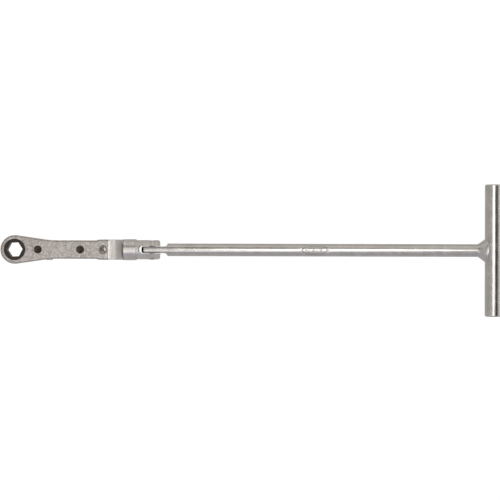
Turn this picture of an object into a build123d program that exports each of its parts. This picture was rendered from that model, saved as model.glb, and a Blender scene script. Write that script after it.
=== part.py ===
from build123d import *
import os
from math import cos, radians, sin, tan

os.makedirs("parts", exist_ok=True)

# A T-handle ratcheting ring wrench with a joint that bends two ways.
# Millimetres. The origin is on the ring's axis at mid thickness, +X runs to the
# T-bar, +Y across the ring in its plane, +Z out of the ring's face.

# Ring and its flat bar
ring_radius = 13.5
head_thickness = 14.0
bar_half_width = 8.7
neck_taper = 8.5          # degrees between the neck's side and the bar's
neck_blend = 105.0        # radius where the neck's side runs into the bar's
arm_end = 89.5            # x of the square ends of the clevis arms
arm_half_width = 9.5
arm_widening = (77.0, 79.4)
widening_blend = 2.5
top_round = 1.8
bottom_chamfer = 0.9
mouth_chamfer = 0.4

# Ratchet wheel
nut_across_flats = 13.1   # a 13 mm nut with working clearance
hex_turn = 3.0            # degrees the hexagon stands turned at rest
teeth = 36
tooth_tip = 10.9
tooth_root = 10.1
hub_radius = 9.77
lip_radius = 9.85
gear_top = 4.9
gear_bottom = -3.9
pocket_radius = 11.1
pocket_top = 5.0
hub_inset = 0.2           # the hub stands this far inside both faces
hex_chamfer = 0.5
hub_chamfer = 0.35
washer_seat = -4.0
washer_thickness = 1.1
seat_radius = 11.7
groove_radius = 12.2
groove_width = 1.1
snap_ring_gap = 3.2
plier_hole = 0.45
plier_hole_angle = 13.0   # either side of the gap

# Reversing pawl and its selector
pawl_x = 21.9
pawl_half_thickness = 3.8
pawl_travel = 6.0         # degrees between the two ways
nose_face = 11.35
nose_tooth_tip = 10.25
nose_tooth_angles = (35.0, 45.0)
nose_tooth_flank = 42.0   # degrees
selector_x = 32.3
selector_radius = 3.05
selector_bore = 3.1
selector_half_length = 9.4
selector_travel = 2 * (selector_x - pawl_x) * sin(radians(pawl_travel / 2))

# Detent behind the selector
detent_bore = 2.3
plunger_radius = 2.25
plunger_tip_x = 35.45
plunger_end_x = 43.0
spring_start_x = 43.1
spring_wire = 0.3
spring_radius = 1.7
spring_coils = 5
stop_x = 61.8

# Flush rivets of the head
rivet_radius = 2.0
rivet_head = 3.45
rivet_hole = 3.55
rivet_depth = 1.5
rivet_sunk = 0.5

# Pivot A: the head's clevis on the link's tongue, about Z
pivot_a_x = 83.2
pin_a_radius = 3.0
pin_a_head = 3.3
pin_a_hole = 3.75
pin_a_sink = 1.3          # depth of the counterbores round its heads
pin_a_crown = 0.95        # rise of its domed heads
slot_half = 3.6
throat_x = 72.6

# Joint link
tongue_half = 3.5
tongue_half_width = 9.6
mill_radius = 8.6         # round that the cutter leaves behind the tongue
shoulder_x = 102.8
link_radius = 10.0
step_x = 114.6
fork_radius = 9.1
fork_end = 136.8
fork_slot_half = 3.55
fork_throat = 116.6
fork_end_chamfer = 1.1
fork_throat_round = 3.4
step_chamfer = 0.35

# Pivot B: the link's fork on the rod's tang, about Y
pivot_b_x = 129.2
pin_b_radius = 2.4
pin_b_head = 3.3

# Rod and T-bar
rod_radius = 6.0
tang_half = 3.2
tang_reach = 10.0
nose_chamfer = 1.6
tang_shoulder = 141.0
tang_cutter = 3.0         # round that the cutter leaves at the tang's shoulders
bar_x = 452.4
bar_radius = 8.0
bar_length = 125.0
bar_chamfer = 1.2
rod_end = 450.2
weld_start = 437.4
weld_end = 449.3
weld_radius = 10.2

running = 0.06            # radial clearance of a pin that turns in its hole

half_thickness = head_thickness / 2


def piece(part, name):
    part.label = name
    export_step(part, f"parts/{name}.step")
    print(f"{name}: {part.volume:.0f} mm3, {len(part.solids())} solid")


def polar(radius, angle):
    return (radius * cos(radians(angle)), radius * sin(radians(angle)))


# ---- ratchet wheel: a toothed ring with a hexagon through it ----

pitch = 360 / teeth
root_land = 0.10 * pitch
tip_land = 0.08 * pitch

with BuildPart() as ratchet_wheel:
    with BuildSketch(Plane.XY.offset(gear_bottom)):
        with BuildLine():
            outline = []
            for tooth in range(teeth):
                middle = tooth * pitch
                outline.append(polar(tooth_root, middle - pitch / 2 + root_land))
                outline.append(polar(tooth_tip, middle - tip_land))
                outline.append(polar(tooth_tip, middle + tip_land))
                outline.append(polar(tooth_root, middle + pitch / 2 - root_land))
            Polyline(*outline, close=True)
        make_face()
    extrude(amount=gear_top - gear_bottom)
    with BuildSketch(Plane.XY.offset(-half_thickness + hub_inset)):
        Circle(hub_radius)
    extrude(amount=head_thickness - 2 * hub_inset)
    with BuildSketch(Plane.XY.offset(-half_thickness)):
        RegularPolygon(nut_across_flats / 2, 6, major_radius=False, rotation=hex_turn)
    extrude(amount=head_thickness, mode=Mode.SUBTRACT)
    hex_mouths = ratchet_wheel.edges().filter_by(Plane.XY).group_by(Axis.Z)
    chamfer(hex_mouths[0].filter_by(GeomType.LINE) + hex_mouths[-1].filter_by(GeomType.LINE), hex_chamfer)
    rims = ratchet_wheel.edges().filter_by(GeomType.CIRCLE).group_by(Axis.Z)
    chamfer(rims[0] + rims[-1], hub_chamfer)

piece(ratchet_wheel.part, "ratchet_wheel")


# ---- ring body: ring, tapered neck, bar and clevis arms, in one forging ----

taper_side = polar(ring_radius, 90 - neck_taper)
neck_end = (ring_radius - bar_half_width * cos(radians(neck_taper))) / sin(radians(neck_taper))

with BuildPart() as ring_body:
    with BuildSketch(Plane.XY.offset(-half_thickness)) as body_outline:
        Circle(ring_radius)
        with BuildLine():
            Polyline(
                (taper_side[0], -taper_side[1]),
                (neck_end, -bar_half_width),
                (arm_widening[0], -bar_half_width),
                (arm_widening[1], -arm_half_width),
                (arm_end, -arm_half_width),
                (arm_end, arm_half_width),
                (arm_widening[1], arm_half_width),
                (arm_widening[0], bar_half_width),
                (neck_end, bar_half_width),
                taper_side,
                close=True,
            )
        make_face()
        bends = body_outline.vertices().filter_by(lambda v: abs(v.X - neck_end) < 0.01)
        fillet(bends, neck_blend)
        steps = body_outline.vertices().filter_by(lambda v: arm_widening[0] - 0.1 < v.X < arm_end - 1)
        fillet(steps, widening_blend)
    extrude(amount=head_thickness)
    sharp = ring_body.edges().filter_by(Plane.XY)
    fillet(sharp.group_by(Axis.Z)[-1].filter_by(lambda e: e.center().X < arm_end - 1), top_round)
    sharp = ring_body.edges().filter_by(Plane.XY)
    chamfer(sharp.group_by(Axis.Z)[0].filter_by(lambda e: e.center().X < arm_end - 1), bottom_chamfer)

    # Stepped bore for the wheel, open below
    with BuildSketch(Plane.XY.offset(-half_thickness)):
        Circle(lip_radius)
    extrude(amount=head_thickness, mode=Mode.SUBTRACT)
    with BuildSketch(Plane.XY.offset(-half_thickness)):
        Circle(pocket_radius)
    extrude(amount=half_thickness + pocket_top, mode=Mode.SUBTRACT)
    with BuildSketch(Plane.XY.offset(-half_thickness)):
        Circle(seat_radius)
    extrude(amount=half_thickness + washer_seat, mode=Mode.SUBTRACT)
    with BuildSketch(Plane.XY.offset(washer_seat - washer_thickness - groove_width)):
        Circle(groove_radius)
    extrude(amount=groove_width, mode=Mode.SUBTRACT)

    # Pawl pocket, opening into the bore
    with BuildSketch(Plane.XY.offset(-pawl_half_thickness - 0.15)):
        with BuildLine():
            wall = [polar(14.0, 52), (11.5, 10.2), (pawl_x, 5.2), (27.5, 3.2), (selector_x + 1.5, 3.2)]
            Polyline((0, 0), *wall, *[(x, -y) for x, y in reversed(wall)], close=True)
        make_face()
    extrude(amount=2 * pawl_half_thickness + 0.3, mode=Mode.SUBTRACT)

    # Cross bore for the selector, long bore for the detent
    with BuildSketch(Plane.XZ.offset(-15)):
        with Locations((selector_x, 0)):
            Circle(selector_bore)
    extrude(amount=30, mode=Mode.SUBTRACT)
    with BuildSketch(Plane.YZ.offset(selector_x)):
        Circle(detent_bore)
    extrude(amount=throat_x + 1 - selector_x, mode=Mode.SUBTRACT)

    # Clevis slot, its throat clear of the tongue as it swings past
    with BuildSketch(Plane.XY.offset(-slot_half)):
        with Locations(((throat_x + arm_end + 5) / 2, 0)):
            Rectangle(arm_end + 5 - throat_x, 3 * bar_half_width)
    extrude(amount=2 * slot_half, mode=Mode.SUBTRACT)

    # Rivet holes, counterbored in the upper face, and the pivot's in both
    with Locations((pawl_x, 0, half_thickness), (stop_x, 0, half_thickness)):
        CounterBoreHole(rivet_radius + 0.02, rivet_hole, rivet_depth)
    with Locations((pivot_a_x, 0, half_thickness)):
        CounterBoreHole(pin_a_radius, pin_a_hole, pin_a_sink)
    with BuildSketch(Plane.XY.offset(-half_thickness)):
        with Locations((pivot_a_x, 0)):
            Circle(pin_a_hole)
    extrude(amount=pin_a_sink, mode=Mode.SUBTRACT)
    face_rims = ring_body.edges().filter_by(GeomType.CIRCLE).filter_by(Plane.XY)
    mouths = face_rims.group_by(Axis.Z)[-1].filter_by(lambda e: e.radius < lip_radius + 0.1)
    chamfer(mouths, mouth_chamfer)

piece(ring_body.part, "ring_body")


# ---- washer and ring that keep the wheel in ----

with BuildPart() as thrust_washer:
    with BuildSketch(Plane.XY.offset(washer_seat - washer_thickness)):
        Circle(seat_radius - 0.05)
        Circle(lip_radius + 0.05, mode=Mode.SUBTRACT)
    extrude(amount=washer_thickness)

piece(thrust_washer.part, "thrust_washer")

with BuildPart() as snap_ring:
    with BuildSketch(Plane.XY.offset(washer_seat - washer_thickness - groove_width + 0.05)):
        Circle(groove_radius - 0.1)
        Circle(lip_radius + 0.6, mode=Mode.SUBTRACT)
        # gap at the far side, between two lugs with plier holes
        with Locations((-groove_radius, 0)):
            Rectangle(2 * groove_radius / 3, snap_ring_gap, mode=Mode.SUBTRACT)
        for angle in (180 - plier_hole_angle, 180 + plier_hole_angle):
            with Locations(polar(11.15, angle)):
                Circle(plier_hole, mode=Mode.SUBTRACT)
    extrude(amount=groove_width - 0.1)

piece(snap_ring.part, "snap_ring")


# ---- pawl: two toothed noses on a hub, with a finger behind ----


def pawl_half():
    # one arm and its nose, drawn where that nose's teeth stand in the wheel
    with BuildSketch(mode=Mode.PRIVATE) as half:
        with BuildLine():
            Polyline((9.0, 1.5), (pawl_x, 1.5), (pawl_x, -4.2), (8.3, -9.2), (5.0, -8.0), close=True)
        make_face()
        Circle(nose_face, mode=Mode.SUBTRACT)
        with BuildLine():
            Polyline((0, 0), polar(20, -50), (0, -20), close=True)
        make_face(mode=Mode.SUBTRACT)
        for angle in nose_tooth_angles:
            width = tan(radians(nose_tooth_flank)) * (nose_face + 0.3 - nose_tooth_tip)
            with BuildSketch(Plane.XY.rotated((0, 0, -angle)), mode=Mode.PRIVATE) as tooth:
                with BuildLine():
                    Polyline(
                        (nose_tooth_tip, 0),
                        (nose_face + 0.3, width),
                        (nose_face + 0.3, -width),
                        close=True,
                    )
                make_face()
            add(tooth.sketch)
    return half.sketch


lower_half = pawl_half()
upper_half = mirror(lower_half, about=Plane.XZ)
upper_half = upper_half.rotate(Axis((pawl_x, 0, 0), (0, 0, 1)), -pawl_travel)

with BuildPart() as pawl:
    with BuildSketch(Plane.XY.offset(-pawl_half_thickness)):
        add(lower_half)
        add(upper_half)
        with Locations((pawl_x, 0)):
            Circle(4.2)
        with Locations(Location((pawl_x, 0, 0), (0, 0, -pawl_travel / 2))):
            with Locations((selector_x - pawl_x - 4, 0)):
                SlotOverall(10.0, 2.6)
        with Locations((pawl_x, 0)):
            Circle(rivet_radius + running, mode=Mode.SUBTRACT)
    extrude(amount=2 * pawl_half_thickness)

piece(pawl.part, "pawl")


# ---- selector: cross pin pushed from either side to reverse the wrench ----

selector_y = -selector_travel / 2

with BuildPart() as reversing_pin:
    with BuildSketch(Plane.XZ.offset(-selector_y - selector_half_length)):
        with Locations((selector_x, 0)):
            Circle(selector_radius)
    extrude(amount=2 * selector_half_length)
    chamfer(reversing_pin.edges().filter_by(GeomType.CIRCLE), 0.4)
    with BuildSketch(Plane.XY.offset(-selector_radius - 1)):
        # notch for the pawl's finger in front, two V notches for the detent behind
        with Locations((selector_x - selector_radius, selector_y)):
            Rectangle(2 * (selector_radius + 1.4), 3.2)
        for side in (-1, 1):
            v_y = selector_y + side * selector_travel / 2
            v_x = selector_x + selector_radius
            with BuildLine():
                Polyline((v_x - 0.35, v_y), (v_x + 0.2, v_y - 0.5), (v_x + 0.2, v_y + 0.5), close=True)
            make_face()
    extrude(amount=2 * selector_radius + 2, mode=Mode.SUBTRACT)

piece(reversing_pin.part, "reversing_pin")


# ---- detent: plunger and spring in the bar ----

with BuildPart() as detent_plunger:
    with BuildSketch(Plane.XY):
        with BuildLine():
            Polyline(
                (plunger_tip_x, 0),
                (plunger_tip_x, 0.35),
                (plunger_tip_x + 1.5, plunger_radius),
                (plunger_end_x, plunger_radius),
                (plunger_end_x, 0),
                close=True,
            )
        make_face()
    revolve(axis=Axis.X)

piece(detent_plunger.part, "detent_plunger")

spring_length = stop_x - rivet_radius - 0.1 - spring_start_x - 2 * spring_wire

with BuildPart() as detent_spring:
    with BuildLine() as coil:
        Helix(
            spring_length / spring_coils,
            spring_length,
            spring_radius,
            center=(spring_start_x + spring_wire, 0, 0),
            direction=(1, 0, 0),
        )
    with BuildSketch(Plane(coil.line @ 0, z_dir=coil.line % 0)):
        RegularPolygon(spring_wire, 4)
    sweep(path=coil.line, is_frenet=True)

piece(detent_spring.part, "detent_spring")


# ---- rivets: one is the pawl's pivot, the other stops the spring ----


def flush_rivet(x):
    with BuildPart() as rivet:
        with BuildSketch(Plane.XY.offset(-half_thickness + 0.1)):
            with Locations((x, 0)):
                Circle(rivet_radius)
        extrude(amount=head_thickness - rivet_depth - 0.1)
        with BuildSketch(Plane.XY.offset(half_thickness - rivet_depth)):
            with Locations((x, 0)):
                Circle(rivet_head)
        extrude(amount=rivet_depth - rivet_sunk)
        top_rim = rivet.edges().filter_by(GeomType.CIRCLE).group_by(Axis.Z)[-1]
        chamfer(top_rim, 0.3)
    return rivet.part


piece(flush_rivet(pawl_x), "pawl_pin")
piece(flush_rivet(stop_x), "spring_stop_pin")


# ---- pivot A's rivet: domed heads sunk in both arms ----

with BuildPart() as head_pivot_pin:
    with BuildSketch(Plane.XZ):
        with BuildLine():
            crown = half_thickness + 0.25
            edge = crown - pin_a_crown
            seat = half_thickness - pin_a_sink
            for side in (1, -1):
                Polyline(
                    (0, side * crown),
                    (pin_a_head * 0.6, side * (crown - 0.3 * pin_a_crown)),
                    (pin_a_head, side * edge),
                    (pin_a_head, side * seat),
                    (pin_a_radius, side * seat),
                    (pin_a_radius, 0),
                )
            Line((0, crown), (0, -crown))
        make_face()
    revolve(axis=Axis.Z)

piece(head_pivot_pin.part.moved(Location((pivot_a_x, 0, 0))), "head_pivot_pin")


# ---- joint link: milled tongue, turned body, slotted fork ----

tongue_start = pivot_a_x - tongue_half_width

with BuildPart() as joint_link:
    with BuildSketch(Plane.YZ.offset(tongue_start - 1)):
        Circle(link_radius)
    extrude(amount=step_x - tongue_start + 1)
    chamfer(joint_link.edges().filter_by(GeomType.CIRCLE).group_by(Axis.X)[-1], step_chamfer)
    with BuildSketch(Plane.YZ.offset(step_x)):
        Circle(fork_radius)
    extrude(amount=fork_end - step_x)
    chamfer(joint_link.edges().filter_by(GeomType.CIRCLE).group_by(Axis.X)[-1], fork_end_chamfer)

    # Tongue: flats above and below run out in the cutter's round
    for side in (1, -1):
        with BuildSketch(Plane.XZ):
            with BuildLine():
                rise = tongue_half + mill_radius
                middle = mill_radius * (1 - cos(radians(45)))
                Polyline(
                    (shoulder_x, side * rise),
                    (shoulder_x, side * (link_radius + 3)),
                    (tongue_start - 4, side * (link_radius + 3)),
                    (tongue_start - 4, side * tongue_half),
                    (shoulder_x - mill_radius, side * tongue_half),
                )
                ThreePointArc(
                    (shoulder_x - mill_radius, side * tongue_half),
                    (shoulder_x - middle, side * (tongue_half + middle)),
                    (shoulder_x, side * rise),
                )
            make_face()
        extrude(amount=link_radius + 2, both=True, mode=Mode.SUBTRACT)

    # Its sides are milled straight, its end is half round about pivot A
    with BuildSketch(Plane.XY.offset(-link_radius)):
        with Locations(((tongue_start - 3 + shoulder_x) / 2, 0)):
            Rectangle(shoulder_x - tongue_start + 3, 3 * link_radius)
        with Locations((pivot_a_x, 0)):
            Circle(tongue_half_width, mode=Mode.SUBTRACT)
        with Locations(((pivot_a_x + shoulder_x) / 2, 0)):
            Rectangle(shoulder_x - pivot_a_x, 2 * tongue_half_width, mode=Mode.SUBTRACT)
    extrude(amount=2 * link_radius, mode=Mode.SUBTRACT)

    # Fork slot, with the cutter's round in its throat's corners
    with BuildSketch(Plane.XY.offset(-link_radius)) as slot:
        with Locations(((fork_throat + fork_end + 4) / 2, 0)):
            Rectangle(fork_end + 4 - fork_throat, 2 * fork_slot_half)
        fillet(slot.vertices().group_by(Axis.X)[0], fork_throat_round)
    extrude(amount=2 * link_radius, mode=Mode.SUBTRACT)

    # Holes for the two pivots
    with BuildSketch(Plane.XY.offset(-link_radius)):
        with Locations((pivot_a_x, 0)):
            Circle(pin_a_radius + running)
    extrude(amount=2 * link_radius, mode=Mode.SUBTRACT)
    with BuildSketch(Plane.XZ.offset(-link_radius)):
        with Locations((pivot_b_x, 0)):
            Circle(pin_b_radius)
    extrude(amount=2 * link_radius, mode=Mode.SUBTRACT)

piece(joint_link.part, "joint_link")


# ---- pivot B's rivet: sunk at one end, low round head at the other ----

with BuildPart() as rod_pivot_pin:
    with BuildSketch(Plane.XY):
        with BuildLine():
            head_under = -fork_radius + 0.25
            head_top = -fork_radius - 0.45
            far_end = fork_radius - 0.9
            Polyline((0, head_top), (0, far_end), (pin_b_radius, far_end), (pin_b_radius, head_under))
            Polyline(
                (pin_b_radius, head_under),
                (pin_b_head, head_under),
                (pin_b_head * 0.65, head_top + 0.2 * (head_under - head_top)),
                (0, head_top),
            )
        make_face()
    revolve(axis=Axis.Y)
    chamfer(rod_pivot_pin.edges().filter_by(GeomType.CIRCLE).group_by(Axis.Y)[-1], 0.3)

pivot_b_pin = rod_pivot_pin.part.moved(Location((pivot_b_x, 0, 0))) - joint_link.part
piece(pivot_b_pin, "rod_pivot_pin")


# ---- rod: round bar, its end milled to a tang with a round nose ----

with BuildPart() as rod:
    with BuildSketch(Plane.YZ.offset(pivot_b_x - tang_reach)):
        Circle(rod_radius)
    extrude(amount=rod_end - pivot_b_x + tang_reach)
    nose_x = pivot_b_x - tang_reach
    for side in (1, -1):
        with BuildSketch(Plane.XY.offset(-rod_radius - 1)):
            with Locations(((nose_x - 1 + tang_shoulder) / 2, side * 1.5 * rod_radius)):
                Rectangle(tang_shoulder - nose_x + 1, 3 * rod_radius - 2 * tang_half)
            with Locations((tang_shoulder, side * (tang_half + tang_cutter))):
                Circle(tang_cutter)
        extrude(amount=2 * rod_radius + 2, mode=Mode.SUBTRACT)
    # round nose about pivot B, seen from the side
    with BuildSketch(Plane.XZ):
        with Locations((nose_x, 0)):
            Rectangle(tang_reach * 1.2, 4 * rod_radius)
        with Locations((pivot_b_x, 0)):
            Circle(tang_reach, mode=Mode.SUBTRACT)
    extrude(amount=rod_radius + 2, both=True, mode=Mode.SUBTRACT)
    nose_edges = rod.edges().filter_by(lambda e: e.center().X < nose_x + 1.5)
    chamfer(nose_edges.filter_by(Plane.XZ), nose_chamfer)
    with BuildSketch(Plane.XZ):
        with Locations((pivot_b_x, 0)):
            Circle(pin_b_radius + running)
    extrude(amount=rod_radius + 2, both=True, mode=Mode.SUBTRACT)

piece(rod.part, "rod")


# ---- T-bar with a blind cross hole for the rod ----

with BuildPart() as t_bar:
    with BuildSketch(Plane.XZ.offset(-bar_length / 2)):
        with Locations((bar_x, 0)):
            Circle(bar_radius)
    extrude(amount=bar_length)
    chamfer(t_bar.edges().filter_by(GeomType.CIRCLE), bar_chamfer)
    with BuildSketch(Plane.YZ.offset(bar_x - bar_radius - 1)):
        Circle(rod_radius)
    extrude(amount=rod_end - bar_x + bar_radius + 1, mode=Mode.SUBTRACT)

piece(t_bar.part, "t_bar")


# ---- weld bead round the rod where it enters the T-bar ----

with BuildPart() as weld_bead:
    with BuildSketch(Plane.XY):
        with BuildLine():
            Polyline(
                (weld_start, 0),
                (weld_start, rod_radius + 0.15),
                (weld_end - 4.2, weld_radius),
                (weld_end, bar_radius),
                (weld_end, 0),
                close=True,
            )
        make_face()
    revolve(axis=Axis.X)
    with BuildSketch(Plane.XZ.offset(-20)):
        with Locations((bar_x, 0)):
            Circle(bar_radius)
    extrude(amount=40, mode=Mode.SUBTRACT)
    with BuildSketch(Plane.YZ.offset(weld_start - 1)):
        Circle(rod_radius)
    extrude(amount=30, mode=Mode.SUBTRACT)

piece(weld_bead.part, "weld_bead")
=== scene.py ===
import bpy
import math
import numpy as np
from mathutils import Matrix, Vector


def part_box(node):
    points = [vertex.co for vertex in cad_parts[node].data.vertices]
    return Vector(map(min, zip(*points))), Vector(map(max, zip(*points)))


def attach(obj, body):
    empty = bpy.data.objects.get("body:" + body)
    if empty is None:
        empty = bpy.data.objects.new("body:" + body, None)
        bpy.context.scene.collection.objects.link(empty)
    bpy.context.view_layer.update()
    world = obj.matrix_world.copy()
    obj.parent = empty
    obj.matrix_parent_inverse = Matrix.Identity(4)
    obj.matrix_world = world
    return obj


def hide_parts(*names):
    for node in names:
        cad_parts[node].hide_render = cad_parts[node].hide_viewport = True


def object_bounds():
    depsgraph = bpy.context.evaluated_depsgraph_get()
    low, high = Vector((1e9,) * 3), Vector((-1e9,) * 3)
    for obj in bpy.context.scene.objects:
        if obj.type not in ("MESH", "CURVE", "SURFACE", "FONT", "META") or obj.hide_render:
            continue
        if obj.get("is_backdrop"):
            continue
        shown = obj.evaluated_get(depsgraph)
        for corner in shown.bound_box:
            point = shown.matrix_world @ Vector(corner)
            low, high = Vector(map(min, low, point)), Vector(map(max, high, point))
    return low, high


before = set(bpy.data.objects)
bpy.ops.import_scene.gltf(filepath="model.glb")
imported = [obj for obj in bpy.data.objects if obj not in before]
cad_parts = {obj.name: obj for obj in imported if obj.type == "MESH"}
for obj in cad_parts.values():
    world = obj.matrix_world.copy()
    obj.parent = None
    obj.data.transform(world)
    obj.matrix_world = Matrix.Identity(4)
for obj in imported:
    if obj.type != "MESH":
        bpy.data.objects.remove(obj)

low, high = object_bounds()
print("wrench: frame loaded,", len(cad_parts), "nodes")


# lowest and highest corners of a node, in millimetres
def nodeBox(node):
    return np.array([list(corner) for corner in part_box(node)]) * 1000


def nodeMiddle(node):
    return nodeBox(node).mean(0)


# an empty material with a Principled surface, its tree and its shader
def nodeTree(name):
    material = bpy.data.materials.new(name)
    material.use_nodes = True
    tree = material.node_tree
    tree.nodes.clear()
    out = tree.nodes.new("ShaderNodeOutputMaterial")
    shader = tree.nodes.new("ShaderNodeBsdfPrincipled")
    tree.links.new(shader.outputs[0], out.inputs[0])
    return material, tree, shader


# object coordinates, stretched along x, y and z
def placed(tree, stretch=(1, 1, 1)):
    where = tree.nodes.new("ShaderNodeTexCoord")
    mapping = tree.nodes.new("ShaderNodeMapping")
    mapping.inputs["Scale"].default_value = stretch
    tree.links.new(where.outputs["Object"], mapping.inputs["Vector"])
    return mapping.outputs["Vector"]


# object coordinates, split into x, y and z
def axes(tree):
    where = tree.nodes.new("ShaderNodeTexCoord")
    split = tree.nodes.new("ShaderNodeSeparateXYZ")
    tree.links.new(where.outputs["Object"], split.inputs[0])
    return split.outputs


def noise(tree, vector, scale, detail=3.0, rough=0.5):
    grain = tree.nodes.new("ShaderNodeTexNoise")
    grain.inputs["Scale"].default_value = scale
    grain.inputs["Detail"].default_value = detail
    grain.inputs["Roughness"].default_value = rough
    tree.links.new(vector, grain.inputs["Vector"])
    return grain.outputs["Fac"]


# maps a value between two edges onto low to high
def spread(tree, value, low, high, edges=(0.3, 0.7)):
    span = tree.nodes.new("ShaderNodeMapRange")
    span.inputs["From Min"].default_value = edges[0]
    span.inputs["From Max"].default_value = edges[1]
    span.inputs["To Min"].default_value = low
    span.inputs["To Max"].default_value = high
    tree.links.new(value, span.inputs["Value"])
    return span.outputs["Result"]


def tint(tree, value, dark, light):
    ramp = tree.nodes.new("ShaderNodeValToRGB")
    ramp.color_ramp.elements[0].position = 0.3
    ramp.color_ramp.elements[1].position = 0.7
    ramp.color_ramp.elements[0].color = (*dark, 1)
    ramp.color_ramp.elements[1].color = (*light, 1)
    tree.links.new(value, ramp.inputs["Fac"])
    return ramp.outputs["Color"]


def blended(tree, share, first, second):
    mix = tree.nodes.new("ShaderNodeMix")
    mix.data_type = "RGBA"
    tree.links.new(share, mix.inputs["Factor"])
    for value, socket in ((first, mix.inputs[6]), (second, mix.inputs[7])):
        if isinstance(value, tuple):
            socket.default_value = (*value, 1)
        else:
            tree.links.new(value, socket)
    return mix.outputs[2]


def calculated(tree, kind, first, second):
    sums = tree.nodes.new("ShaderNodeMath")
    sums.operation = kind
    for value, socket in ((first, sums.inputs[0]), (second, sums.inputs[1])):
        if isinstance(value, (int, float)):
            socket.default_value = value
        else:
            tree.links.new(value, socket)
    return sums.outputs[0]


# the first value with a share of it given up to the second
def shared(tree, first, second, share):
    rest = calculated(tree, "MULTIPLY", first, 1 - share)
    return calculated(tree, "ADD", rest, calculated(tree, "MULTIPLY", second, share))


# a bump, its depth in metres, that may stand on another bump
def raised(tree, shader, value, depth, under=None):
    bump = tree.nodes.new("ShaderNodeBump")
    bump.inputs["Strength"].default_value = 1.0
    bump.inputs["Distance"].default_value = depth
    tree.links.new(value, bump.inputs["Height"])
    if under is not None:
        tree.links.new(under, bump.inputs["Normal"])
    tree.links.new(bump.outputs["Normal"], shader.inputs["Normal"])
    return bump.outputs["Normal"]


# distance from an axis parallel to y through x and z, in metres
def fromCrossAxis(tree, at, x, z):
    besideX = calculated(tree, "POWER", calculated(tree, "SUBTRACT", at["X"], x), 2)
    besideZ = calculated(tree, "POWER", calculated(tree, "SUBTRACT", at["Z"], z), 2)
    return calculated(tree, "SQRT", calculated(tree, "ADD", besideX, besideZ), 0)


blasted = {
    "dark": (0.270, 0.245, 0.228),
    "light": (0.700, 0.652, 0.620),
    "speckle": 640.0,
    "speckleDepth": 0.00010,
    "lumps": 330.0,
    "lumpDepth": 0.00010,
    "patches": 70.0,
    "patchShare": 0.22,
    "roughness": (0.30, 0.48),
    "facedHighlight": (0.93, 0.915, 0.90),
    "highlightWidth": 0.0011,     # of the band across the arms' ends that carries the painted highlight, metres
    "highlightEdge": 0.0001,
}


# Shot-blasted plate: fine speckle over shallow pits, in slow patches of tone. The arms' ends, faced by a
# cutter, carry a painted highlight: a near-white band across them.
def blastedPlate():
    material, tree, shader = nodeTree("blasted_plate")
    speckle = noise(tree, placed(tree), blasted["speckle"], 4.0, 0.6)
    lumps = noise(tree, placed(tree), blasted["lumps"], 2.0)
    patches = noise(tree, placed(tree), blasted["patches"], 3.0)
    both = shared(tree, speckle, patches, blasted["patchShare"])
    # painted highlight: the last millimetre of the arms' ends is blended to near white
    band, edge = nodeBox("ring_body")[1][0] / 1000 - blasted["highlightWidth"], blasted["highlightEdge"]
    facedHighlight = spread(tree, axes(tree)["X"], 0, 1, (band - edge, band + edge))
    plate = tint(tree, both, blasted["dark"], blasted["light"])
    tree.links.new(blended(tree, facedHighlight, plate, blasted["facedHighlight"]), shader.inputs["Base Color"])
    tree.links.new(spread(tree, lumps, *blasted["roughness"]), shader.inputs["Roughness"])
    under = raised(tree, shader, lumps, blasted["lumpDepth"])
    raised(tree, shader, speckle, blasted["speckleDepth"], under)
    shader.inputs["Metallic"].default_value = 1.0
    return material


turned = {
    "dark": (0.55, 0.525, 0.50),
    "light": (0.65, 0.625, 0.60),
    "marks": 900.0,
    "markDepth": 0.00002,
    "mottle": 120.0,
    "mottleDepth": 0.00002,
    "roughness": (0.20, 0.28),
    # colour of the painted shade in hollows and gaps
    "paintedShade": (0.07, 0.06, 0.055),
}


# Satin plate over fine lathe or drawing marks; stretch is small along the marks. Painted shade lies where
# the piece's own attribute of that name says, if one is named.
def turnedPlate(name, stretch, shadeName=None):
    material, tree, shader = nodeTree(name)
    marks = noise(tree, placed(tree, stretch), turned["marks"], 2.0)
    mottle = noise(tree, placed(tree), turned["mottle"], 3.0)
    plate = tint(tree, mottle, turned["dark"], turned["light"])
    # painted shade: the plate darkens where the named attribute says
    if shadeName:
        held = tree.nodes.new("ShaderNodeAttribute")
        held.attribute_name = shadeName
        plate = blended(tree, held.outputs["Fac"], plate, turned["paintedShade"])
    tree.links.new(plate, shader.inputs["Base Color"])
    tree.links.new(spread(tree, mottle, *turned["roughness"]), shader.inputs["Roughness"])
    under = raised(tree, shader, mottle, turned["mottleDepth"])
    raised(tree, shader, marks, turned["markDepth"], under)
    shader.inputs["Metallic"].default_value = 1.0
    return material


link = {
    "dark": (0.52, 0.49, 0.465),
    "light": (0.80, 0.765, 0.74),
    "turnedRoughness": 0.32,
    "forkRoughness": 0.44,
    "markShare": 0.6,         # how much of the tone follows the cutter's marks
    "grain": 620.0,
    "grainDepth": 0.00005,
    "forkStart": 0.0143,      # from the rod's pivot back to the step, metres
    "forkEdge": 0.0004,
    "paintedShade": (0.06, 0.05, 0.045),
    "shadeInner": 0.0025,
    "shadeOuter": 0.0031,
    "shadeHeight": 0.0074,
    "shadeEdge": 0.0006,
    "shadowLineBack": 0.0266,     # from the rod's pivot back to the foot of the hollow, where the painted shadow line lies, metres
    "shadowLineWidth": 0.0010,
    "shadowLineEdges": (0.0003, 0.0002),
    "shadowLineShare": 0.75,
}
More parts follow.
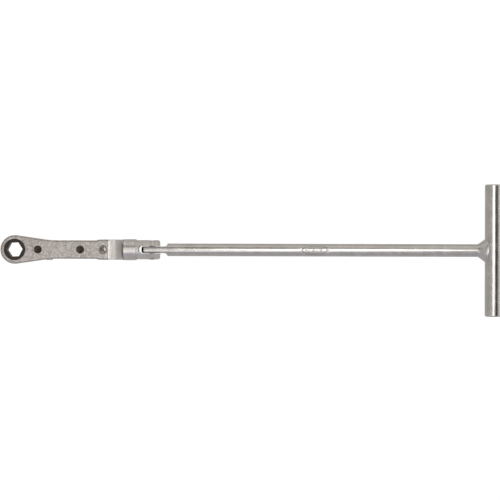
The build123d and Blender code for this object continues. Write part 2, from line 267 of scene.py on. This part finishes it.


# turned collar and rough fork in one plate, with painted shade round the pin's sunk end and a painted shadow
# line along the foot of the hollow
def linkPlate():
    material, tree, shader = nodeTree("link_plate")
    pivot = nodeMiddle("rod_pivot_pin") / 1000
    at = axes(tree)
    away = fromCrossAxis(tree, at, pivot[0], pivot[2])
    step = pivot[0] - link["forkStart"]
    fork = spread(tree, at["X"], 0, 1, (step - link["forkEdge"], step))
    marks = noise(tree, placed(tree, (1.0, 0.10, 0.10)), turned["marks"], 2.0)
    grain = noise(tree, placed(tree), link["grain"], 3.0, 0.6)
    plate = tint(tree, shared(tree, grain, marks, link["markShare"]), link["dark"], link["light"])
    # painted shade round the pin's sunk end
    near = spread(tree, away, 1, 0, (link["shadeInner"], link["shadeOuter"]))
    top = spread(tree, at["Y"], 0, 1, (link["shadeHeight"], link["shadeHeight"] + link["shadeEdge"]))
    atPin = calculated(tree, "MULTIPLY", near, top)
    # painted shadow line along the foot of the hollow
    foot, (soft, sharp) = pivot[0] - link["shadowLineBack"], link["shadowLineEdges"]
    before = spread(tree, at["X"], 0, link["shadowLineShare"], (foot - link["shadowLineWidth"], foot - soft))
    behind = spread(tree, at["X"], 1, 0, (foot, foot + sharp))
    shaded = calculated(tree, "MAXIMUM", atPin, calculated(tree, "MULTIPLY", before, behind))
    tree.links.new(blended(tree, shaded, plate, link["paintedShade"]), shader.inputs["Base Color"])
    tree.links.new(spread(tree, fork, link["turnedRoughness"], link["forkRoughness"], (0, 1)),
                   shader.inputs["Roughness"])
    under = raised(tree, shader, calculated(tree, "MULTIPLY", grain, fork), link["grainDepth"])
    raised(tree, shader, marks, turned["markDepth"], under)
    shader.inputs["Metallic"].default_value = 1.0
    return material


wheelSteel = {
    "name": "wheel_steel",
    "dark": (0.034, 0.027, 0.021),
    "light": (0.085, 0.068, 0.056),
    "grain": 900.0,
    "depth": 0.00003,
    "roughness": (0.32, 0.48),
}
rivetSteel = {
    "name": "rivet_steel",
    "dark": (0.026, 0.020, 0.016),
    "light": (0.068, 0.054, 0.044),
    "grain": 700.0,
    "depth": 0.00004,
    "roughness": (0.30, 0.46),
}
pivotSteel = {
    "name": "pivot_steel",
    "dark": (0.16, 0.138, 0.115),
    "light": (0.31, 0.285, 0.25),
    "grain": 420.0,
    "depth": 0.00001,
    "roughness": (0.10, 0.18),
}


# blackened or darkened steel with a faint grain
def darkSteel(look):
    material, tree, shader = nodeTree(look["name"])
    grain = noise(tree, placed(tree), look["grain"], 3.0)
    tree.links.new(tint(tree, grain, look["dark"], look["light"]), shader.inputs["Base Color"])
    tree.links.new(spread(tree, grain, *look["roughness"]), shader.inputs["Roughness"])
    raised(tree, shader, grain, look["depth"])
    shader.inputs["Metallic"].default_value = 0.85
    return material


pinEnd = {
    "shadeStart": 0.0066,     # height on y where the painted shade of the sunk end starts, metres
    "shadeEdge": 0.0008,
    "paintedShade": (0.07, 0.06, 0.05),
    "mottle": 480.0,
    "mottleDepth": 0.00003,
    "roughness": (0.26, 0.40),
}


# plated pin whose sunk end is darkened with painted shade
def pinPlate():
    material, tree, shader = nodeTree("pin_plate")
    mottle = noise(tree, placed(tree), pinEnd["mottle"], 3.0)
    start = pinEnd["shadeStart"]
    # painted shade on the sunk end
    end = spread(tree, axes(tree)["Y"], 0, 1, (start, start + pinEnd["shadeEdge"]))
    plate = tint(tree, mottle, turned["dark"], turned["light"])
    tree.links.new(blended(tree, end, plate, pinEnd["paintedShade"]), shader.inputs["Base Color"])
    tree.links.new(spread(tree, mottle, *pinEnd["roughness"]), shader.inputs["Roughness"])
    raised(tree, shader, mottle, pinEnd["mottleDepth"])
    shader.inputs["Metallic"].default_value = 1.0
    return material


blastedFinish = blastedPlate()
turnedFinish = turnedPlate("turned_plate", (1.0, 0.10, 0.10))
drawnFinish = turnedPlate("drawn_plate", (0.05, 1.0, 1.0), "shadeMask")
barFinish = turnedPlate("bar_plate", (1.0, 0.05, 1.0))
weldFinish = turnedPlate("weld_plate", (0.6, 0.6, 0.6))
linkFinish = linkPlate()
pinFinish = pinPlate()
wheelFinish = darkSteel(wheelSteel)
rivetFinish = darkSteel(rivetSteel)
pivotFinish = darkSteel(pivotSteel)
print("wrench: materials")

finishes = {
    "ring_body": blastedFinish,
    "ratchet_wheel": wheelFinish,
    "thrust_washer": turnedFinish,
    "snap_ring": rivetFinish,
    "pawl": wheelFinish,
    "reversing_pin": turnedFinish,
    "detent_plunger": turnedFinish,
    "detent_spring": turnedFinish,
    "joint_link": linkFinish,
    "rod_pivot_pin": pinFinish,
}
for node, finish in finishes.items():
    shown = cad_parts[node]
    shown.data.materials.clear()
    shown.data.materials.append(finish)


# angles of a closed ring of points
def around(count):
    return np.linspace(0, 2 * math.pi, count, endpoint=False)


# a uniform cubic B-spline with its ends held: each place is a weighted sum of four neighbouring points
def smoothLine(points, steps):
    held = np.array([points[0]] * 2 + list(points) + [points[-1]] * 2, float)
    spans = len(held) - 3
    at = np.linspace(0, spans, steps)
    span = np.minimum(at.astype(int), spans - 1)
    t = (at - span)[:, None]
    weights = ((1 - t) ** 3, 3 * t ** 3 - 6 * t ** 2 + 4, -3 * t ** 3 + 3 * t ** 2 + 3 * t + 1, t ** 3)
    return sum(held[span + k] * weight for k, weight in enumerate(weights)) / 6


# Makes a closed mesh from a grid of places in millimetres: rows follow one another along the piece, columns
# run right-handed about it, and a fan closes each end. The look is the piece's name, finish, body, slot, the
# node it stands for, and the angle past which an edge is sharp; its slot is not used here.
def skin(look, grid, finish, node):
    rows, columns, _ = grid.shape
    places = np.concatenate([grid.reshape(-1, 3), grid[0].mean(0)[None], grid[-1].mean(0)[None]]) / 1000
    i, j = np.meshgrid(np.arange(rows - 1), np.arange(columns), indexing="ij")
    after = (j + 1) % columns
    this, later = i * columns, (i + 1) * columns
    quads = np.stack([this + j, this + after, later + after, later + j], -1)
    ring = np.arange(columns)
    follow = (ring + 1) % columns
    first = np.stack([follow, ring, np.full(columns, rows * columns)], -1)
    last = np.stack([ring, follow, np.full(columns, rows * columns + 1)], -1)
    last[:, :2] += (rows - 1) * columns
    mesh = bpy.data.meshes.new(look["name"])
    mesh.from_pydata(places.tolist(), [], quads.reshape(-1, 4).tolist() + first.tolist() + last.tolist())
    mesh.materials.append(finish)
    mesh.shade_smooth()
    mesh.set_sharp_from_angle(angle=math.radians(look["sharpAngle"]))
    piece = bpy.data.objects.new(look["name"], mesh)
    bpy.context.collection.objects.link(piece)
    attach(piece, look["body"])
    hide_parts(node)
    print("wrench:", look["name"], len(mesh.polygons), "faces")
    return mesh


# spins a profile of (place along the axis, radius): the other two coordinates are radius times
# the cosine and the sine of the angle
def spun(profile, axis, centre, columns):
    along, radius = np.array(profile, float).T
    angle = around(columns)
    flat = np.stack([np.broadcast_to(along[:, None], (len(along), columns)),
                     radius[:, None] * np.cos(angle), radius[:, None] * np.sin(angle)], -1)
    turn = {"x": (0, 1, 2), "y": (2, 0, 1), "z": (1, 2, 0)}[axis]
    return flat[:, :, turn] + np.array(centre, float)


# places on an arc in a profile's plane, angles in degrees
def arcPoints(centre, radius, start, end, steps):
    angle = np.radians(np.linspace(start, end, steps))
    return [(centre[0] + radius * c, centre[1] + radius * s) for c, s in zip(np.cos(angle), np.sin(angle))]


tBar = {
    "name": "tBar",
    "body": "handle",
    "slot": "plated_bar",
    "sharpAngle": 40.0,
    "chamfer": 0.9,
    "edge": 0.3,              # round of the chamfer's own edges
    "dish": 0.15,             # hollow of the faced ends
    "columns": 160,
    "rows": 160,
    "waviness": 0.015,
}


# A cylinder along y with rounded chamfers and faintly dished ends. Its radius is multiplied by
# one plus a small sum of slow sines of the length and the angle, as a drawn and plated bar's is.
def makeTBar():
    box = nodeBox("t_bar")
    centre = box.mean(0)
    half = (box[1][1] - box[0][1]) / 2
    radius = (box[1][2] - box[0][2]) / 2
    chamfer, edge = tBar["chamfer"], tBar["edge"]
    face = [(-half + tBar["dish"] * (1 - (r / (radius - chamfer)) ** 2), r)
            for r in np.linspace(0.3, radius - chamfer - edge, 10)]
    inner = smoothLine([(-half, radius - chamfer - edge), (-half, radius - chamfer),
                        (-half + edge * 0.7, radius - chamfer + edge * 0.7)], 5).tolist()
    outer = smoothLine([(-half + chamfer - edge * 0.7, radius - edge * 0.7), (-half + chamfer, radius),
                        (-half + chamfer + edge, radius)], 6).tolist()
    lowEnd = face + inner[1:] + outer
    reach = half - chamfer - edge - 0.7
    middle = [(y, radius) for y in np.linspace(-reach, reach, tBar["rows"])]
    highEnd = [(-y, r) for y, r in reversed(lowEnd)]
    grid = spun(lowEnd + middle + highEnd, "y", centre, tBar["columns"])
    offset = grid - centre
    y, angle = offset[:, :, 1], np.arctan2(offset[:, :, 0], offset[:, :, 2])
    wave = (np.sin(y * 0.21 + 2 * angle) + 0.6 * np.sin(y * 0.47 - 3 * angle + 1.3)
            + 0.5 * np.sin(y * 1.1 + angle))
    grow = (1 + tBar["waviness"] * wave / radius)[:, :, None]
    grid = centre + offset * np.concatenate([grow, np.ones_like(grow), grow], -1)
    skin(tBar, grid, barFinish, "t_bar")


rodBar = {
    "name": "rodBar",
    "body": "handle",
    "slot": "plated_steel",
    "sharpAngle": 24.0,
    "tangHalf": 3.2,
    "tangLength": 11.8,       # from the pivot to where the cutter starts to lift
    "cutter": 3.0,
    "noseRound": 2.4,         # round of the nose seen from above
    "stampPlace": 0.495,      # share of the rod's length
    "stampHalfLength": 13.6,
    "stampHalfWidth": 4.1,
    "stampLine": 0.6,
    "stampDepth": 0.18,
    "stampRim": 0.93,         # elliptic distance of the oval line
    "hatchPitch": 2.4,
    "hatchSlope": 0.45,
    "hatchReach": (0.74, 0.55),    # how far the hatch lines go, elliptic and across
    "hatchEdges": (12, 8),
    "stampShade": 0.30,
    "noseShade": (1.8, 3.4),  # from the nose to where its painted shade thins and ends
    "sideShade": 0.5,         # strip of painted shade along the tang's edges
    "sideShadeEnd": 10.0,     # from the nose
    "sideShadeFade": 3.0,
    "columns": 224,
    "waviness": 0.012,
}


# How deep the maker's plain stamp is: an oval line where the elliptic distance is near one,
# and sloping hatch lines inside it, both tapered at their edges. Worn hatch lines fade by a
# slow sine of their place.
def stampDepth(x, across, middle):
    u = (x - middle) / rodBar["stampHalfLength"]
    v = across / rodBar["stampHalfWidth"]
    reach = np.sqrt(u ** 2 + v ** 2)
    fromRim = np.abs(reach - rodBar["stampRim"]) * rodBar["stampHalfWidth"]
    rim = np.clip(1 - fromRim / rodBar["stampLine"], 0, 1)
    hatch = np.abs(((x + across * rodBar["hatchSlope"]) / rodBar["hatchPitch"]) % 1 - 0.5) * 2
    (ends, sides), (endEdge, sideEdge) = rodBar["hatchReach"], rodBar["hatchEdges"]
    inside = np.clip((ends - reach) * endEdge, 0, 1) * np.clip((sides - np.abs(v)) * sideEdge, 0, 1)
    worn = 0.55 + 0.45 * np.sin(x * 1.7 + across * 0.9)
    return rodBar["stampDepth"] * np.maximum(rim, np.clip(1.6 - 3.2 * hatch, 0, 1) * inside * worn)


# A round bar along x. Its y is held between the tang's two flats, which lift along the cutter's
# arc, and its z inside the nose's circle about the pivot.
def makeRod():
    start, end = nodeBox("rod")[:, 0]
    radius = nodeBox("rod")[1][2]
    pivot = nodeMiddle("rod_pivot_pin")[0]
    nose = pivot - start
    shoulder = pivot + rodBar["tangLength"]
    cutter = rodBar["cutter"]
    middle = start + (end - start) * rodBar["stampPlace"]
    stampStart = middle - rodBar["stampHalfLength"] - 0.5
    stampEnd = middle + rodBar["stampHalfLength"] + 0.5
    x = np.concatenate([start + (1 - np.cos(np.linspace(0.02, math.pi / 2, 30))) * nose,
                        np.linspace(pivot, shoulder, 14)[1:-1],
                        np.linspace(shoulder, shoulder + cutter, 30),
                        np.linspace(shoulder + cutter + 0.5, stampStart, 70),
                        np.linspace(stampStart, stampEnd, 200)[1:-1],
                        np.linspace(stampEnd, end, 70)])[:, None]
    angle = around(rodBar["columns"])[None, :]
    across = radius * ((angle - math.pi / 2 + math.pi) % (2 * math.pi) - math.pi)
    wave = np.sin(x * 0.16 + 2 * angle) + 0.6 * np.sin(x * 0.43 - 3 * angle) + 0.5 * np.sin(x * 1.3 + angle)
    stamp = stampDepth(x, across, middle)
    bar = radius + rodBar["waviness"] * wave * (x > shoulder + cutter) - stamp
    lift = np.clip(x - shoulder, 0, cutter)
    flat = rodBar["tangHalf"] + cutter - np.sqrt(cutter ** 2 - lift ** 2)
    flat = np.where(x > shoulder + cutter * 0.999, 2 * radius, flat)
    corner = np.clip(rodBar["noseRound"] - (x - start), 0, rodBar["noseRound"])
    flat = flat - rodBar["noseRound"] + np.sqrt(rodBar["noseRound"] ** 2 - corner ** 2)
    height = np.sqrt(np.clip(nose ** 2 - np.clip(pivot - x, 0, None) ** 2, 0.0004, None))
    y = np.clip(bar * np.cos(angle), -flat, flat)
    z = np.clip(bar * np.sin(angle), -height, height)
    mesh = skin(rodBar, np.stack([np.broadcast_to(x, y.shape), y, z], -1), drawnFinish, "rod")
    # painted shade lies in the stamp's hollows, round the nose and along the tang's edges, most on the side
    # of -y
    thin, unshaded = rodBar["noseShade"]
    onNose = np.clip((unshaded - (x - start)) / (unshaded - thin), 0, 1)
    strip = np.clip((np.abs(y) - flat) / rodBar["sideShade"] + 1, 0, 1) * np.where(y < 0, 1, 0.4)
    onSide = strip * np.clip((rodBar["sideShadeEnd"] - (x - start)) / rodBar["sideShadeFade"], 0, 1)
    onStamp = stamp / rodBar["stampDepth"] * rodBar["stampShade"]
    # the two last points close the ends: the nose's carries painted shade, the other none
    held = np.append(np.maximum(np.maximum(onNose, onSide), onStamp).ravel(), [1, 0])
    mesh.attributes.new("shadeMask", "FLOAT", "POINT").data.foreach_set("value", held)


weld = {
    "name": "weldBead",
    "body": "handle",
    "slot": "plated_steel",
    "sharpAngle": 60.0,
    # distance before the T-bar's axis, and radius
    "profile": [(-15.1, 6.02), (-14.3, 6.3), (-12.6, 7.0), (-10.7, 8.1), (-8.4, 9.4), (-6.4, 10.2),
                (-5.0, 10.0), (-3.9, 8.9), (-3.2, 7.9), (-2.8, 7.0)],
    "sideSpread": 0.34,       # how much further the bead reaches along the T-bar
    "steps": 72,
    "columns": 256,
    "ripples": 46,
    "rippleDepth": 0.030,
    "facets": 6,
    "facetDepth": 0.10,
    "lumpDepth": 0.10,
}


# A flared collar about x. The profile's rise above the rod is multiplied by one plus the side
# spread times the squared cosine of the angle from y; crescent ripples, dressed facets and slow
# lumps, all sines of the angle and of the place along the bead, are added to the radius.
def makeWeld():
    line = smoothLine(weld["profile"], weld["steps"]) + [nodeMiddle("t_bar")[0], 0]
    angle = around(weld["columns"])[None, :]
    u = np.linspace(0, 1, weld["steps"])[:, None]
    swell = np.sin(math.pi * u)
    ripple = np.cos(weld["ripples"] * angle + 9 * (u - 0.5) ** 2)
    facet = np.abs(np.cos(weld["facets"] / 2 * (angle - 0.35))) - 0.64
    lump = np.sin(2 * angle + 5 * u) + np.sin(5 * angle - 7 * u + 0.8)
    rod = nodeBox("rod")[1][2]
    rise = (line[:, 1:2] - rod) * (1 + weld["sideSpread"] * np.cos(angle) ** 2)
    detail = weld["rippleDepth"] * ripple - weld["facetDepth"] * facet + weld["lumpDepth"] * lump / 2
    radius = rod + rise + swell * detail
    x = np.broadcast_to(line[:, :1], radius.shape)
    grid = np.stack([x, radius * np.cos(angle), radius * np.sin(angle)], -1)
    skin(weld, grid, weldFinish, "weld_bead")


rivet = {
    "name": "rivet",
    "body": "head",
    "slot": "black_steel",
    "sharpAngle": 35.0,
    "headHeight": 1.0,
    "shank": 2.0,
    "edge": 0.3,
    "dish": 0.35,             # hollow left by the closing tool
    "columns": 72,
}


# A flat-headed rivet about z: its upper face falls by the dish times one minus the square of
# the distance from the axis, over the head's radius.
def makeRivet(name, node):
    box = nodeBox(node)
    centre = [box.mean(0)[0], 0, 0]
    bottom, top = box[:, 2]
    head = (box[1][1] - box[0][1]) / 2
    seat, shank, edge = top - rivet["headHeight"], rivet["shank"], rivet["edge"]
    foot = [(bottom + 0.1, 0.3), (bottom, shank - 0.5), (bottom + 0.15, shank - 0.1), (bottom + 0.35, shank)]
    collar = [(seat, shank), (seat, head - 0.1), (seat + 0.1, head)]
    rim = arcPoints((top - edge, head - edge), edge, 90, 0, 6)
    hollow = [(top - rivet["dish"] * (1 - (r / (head - 2 * edge)) ** 2), r)
              for r in np.linspace(head - 2 * edge, 0.2, 12)]
    grid = spun(foot + collar + rim + hollow, "z", centre, rivet["columns"])
    skin({**rivet, "name": name}, grid, rivetFinish, node)


pivotPin = {
    "name": "headPivotPin",
    "body": "head",
    "slot": "black_steel",
    "sharpAngle": 35.0,
    "shank": 3.0,
    "headHeight": 1.45,
    "crownRadius": 18.0,
    "edge": 0.6,
    "columns": 96,
}


# A rivet about z with two low domes: each is a cap of a large sphere that runs into a round edge.
def makeHeadPivot():
    box = nodeBox("head_pivot_pin")
    centre = [box.mean(0)[0], 0, 0]
    top = box[1][2]
    head = (box[1][1] - box[0][1]) / 2
    edge, crown = pivotPin["edge"], pivotPin["crownRadius"]
    drop = crown - math.sqrt(crown ** 2 - (head - edge) ** 2)
    tilt = math.degrees(math.asin((head - edge) / crown))
    rim = arcPoints((top - drop - edge, head - edge), edge, 90, tilt, 10)
    dome = [(top - crown + math.sqrt(crown ** 2 - r ** 2), r) for r in np.linspace(head - edge, 0.05, 16)]
    seat = top - pivotPin["headHeight"]
    upper = [(seat, pivotPin["shank"]), (seat, head)] + rim + dome[1:]
    lower = [(-z, r) for z, r in reversed(upper)]
    skin(pivotPin, spun(lower + upper, "z", centre, pivotPin["columns"]), pivotFinish, "head_pivot_pin")


makeTBar()
makeRod()
makeWeld()
makeRivet("pawlPin", "pawl_pin")
makeRivet("springStopPin", "spring_stop_pin")
makeHeadPivot()
print("wrench: pieces")


studio = {
    "floorColor": (0.12, 0.12, 0.12),
    "floorGlow": 0.94,
    "tableColor": (0.86, 0.85, 0.84),
    "floorReach": 4.0,
    "floorDrop": 0.145,       # below the tool, so that the head can swing down
    "worldLow": (0.50, 0.50, 0.56),    # from the side of -y
    "worldTop": (0.50, 0.49, 0.475),
    "worldHigh": (0.76, 0.735, 0.70),  # from the side of +y
    # lamps: place, direction they face, size across and along, and brightness
    "lamps": {
        "key": ((0.372, 0.10, 1.2), (0, 0, -1), (0.40, 0.46), 3.5),
        "fill": ((-0.05, -0.46, 1.2), (0, 0, -1), (1.1, 0.40), 1.1),
        "edge": ((1.90, 0.0, 0.22), (-1, 0, 0), (1.8, 0.26), 1.1),
    },
    "flagColor": (0.03, 0.03, 0.03),
    "flags": {                       # dark cards: low corner and high corner
        "flag_right": ((1.25, -1.5, 0.60), (1.25, 1.5, 1.75)),
        "flag_back": ((-0.9, 0.9, 0.93), (0.32, 0.9, 1.45)),
    },
    "cameraHeight": 1.57,
    "cameraX": 0.2220,
    "cameraY": 0.00002,
    "cameraRoll": 0.15,
    "fieldWidth": 0.4734,
}


# The floor is bright to the camera and a plain pale table in the plate, so edges stay readable.
def makeFloor():
    material, tree, shader = nodeTree("pale_floor")
    shader.inputs["Base Color"].default_value = (*studio["floorColor"], 1)
    shader.inputs["Roughness"].default_value = 0.8
    shader.inputs["Emission Color"].default_value = (1, 1, 1, 1)
    shader.inputs["Emission Strength"].default_value = studio["floorGlow"]
    table = tree.nodes.new("ShaderNodeBsdfDiffuse")
    table.inputs["Color"].default_value = (*studio["tableColor"], 1)
    path = tree.nodes.new("ShaderNodeLightPath")
    mix = tree.nodes.new("ShaderNodeMixShader")
    tree.links.new(path.outputs["Is Camera Ray"], mix.inputs["Fac"])
    tree.links.new(table.outputs[0], mix.inputs[1])
    tree.links.new(shader.outputs[0], mix.inputs[2])
    tree.links.new(mix.outputs[0], tree.nodes["Material Output"].inputs[0])
    reach, z = studio["floorReach"], low[2] - studio["floorDrop"]
    mesh = bpy.data.meshes.new("floor")
    mesh.from_pydata([(-reach, -reach, z), (reach, -reach, z), (reach, reach, z), (-reach, reach, z)],
                     [], [(0, 1, 2, 3)])
    floor = bpy.data.objects.new("floor", mesh)
    floor.data.materials.append(material)
    bpy.context.collection.objects.link(floor)
    floor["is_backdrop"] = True


# The sky's colour runs with the direction's y, from one side of the room to the other.
def makeSky():
    world = bpy.data.worlds.new("studio")
    world.use_nodes = True
    tree = world.node_tree
    where = tree.nodes.new("ShaderNodeTexCoord")
    split = tree.nodes.new("ShaderNodeSeparateXYZ")
    tree.links.new(where.outputs["Generated"], split.inputs[0])
    ramp = tree.nodes.new("ShaderNodeValToRGB")
    ramp.color_ramp.elements[0].color = (*studio["worldLow"], 1)
    ramp.color_ramp.elements[1].color = (*studio["worldHigh"], 1)
    ramp.color_ramp.elements.new(0.5).color = (*studio["worldTop"], 1)
    tree.links.new(spread(tree, split.outputs["Y"], 0, 1, (-1, 1)), ramp.inputs["Fac"])
    tree.links.new(ramp.outputs["Color"], tree.nodes["Background"].inputs["Color"])
    bpy.context.scene.world = world


# an area lamp's power is its brightness times pi times its area
def makeLamps():
    for name, (place, facing, (across, along), brightness) in studio["lamps"].items():
        light = bpy.data.lights.new(name, "AREA")
        light.shape = "RECTANGLE"
        light.size = across
        light.size_y = along
        light.energy = brightness * math.pi * across * along
        lamp = bpy.data.objects.new(name, light)
        lamp.location = place
        if facing[0]:
            lamp.rotation_euler = (math.pi / 2, 0, math.pi / 2)
        bpy.context.collection.objects.link(lamp)


def makeFlags():
    material, tree, shader = nodeTree("flag_cloth")
    shader.inputs["Base Color"].default_value = (*studio["flagColor"], 1)
    shader.inputs["Roughness"].default_value = 1.0
    for name, (a, b) in studio["flags"].items():
        mesh = bpy.data.meshes.new(name)
        corners = [(a[0], a[1], a[2]), (b[0], b[1], a[2]), (b[0], b[1], b[2]), (a[0], a[1], b[2])]
        mesh.from_pydata(corners, [], [(0, 1, 2, 3)])
        flag = bpy.data.objects.new(name, mesh)
        flag.data.materials.append(material)
        flag.visible_camera = False
        bpy.context.collection.objects.link(flag)
        flag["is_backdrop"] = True


def makeCamera():
    lens = bpy.data.cameras.new("camera")
    lens.sensor_width = 36.0
    lens.lens = 36.0 * studio["cameraHeight"] / studio["fieldWidth"]
    lens.clip_start = 0.05
    lens.clip_end = 20.0
    camera = bpy.data.objects.new("camera", lens)
    camera.location = (studio["cameraX"], studio["cameraY"], studio["cameraHeight"])
    camera.rotation_euler = (0, 0, math.radians(studio["cameraRoll"]))
    bpy.context.collection.objects.link(camera)
    bpy.context.scene.camera = camera


makeFloor()
makeSky()
makeLamps()
makeFlags()
makeCamera()
bpy.context.scene.view_settings.view_transform = "Standard"
print("wrench: studio set")

low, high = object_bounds()
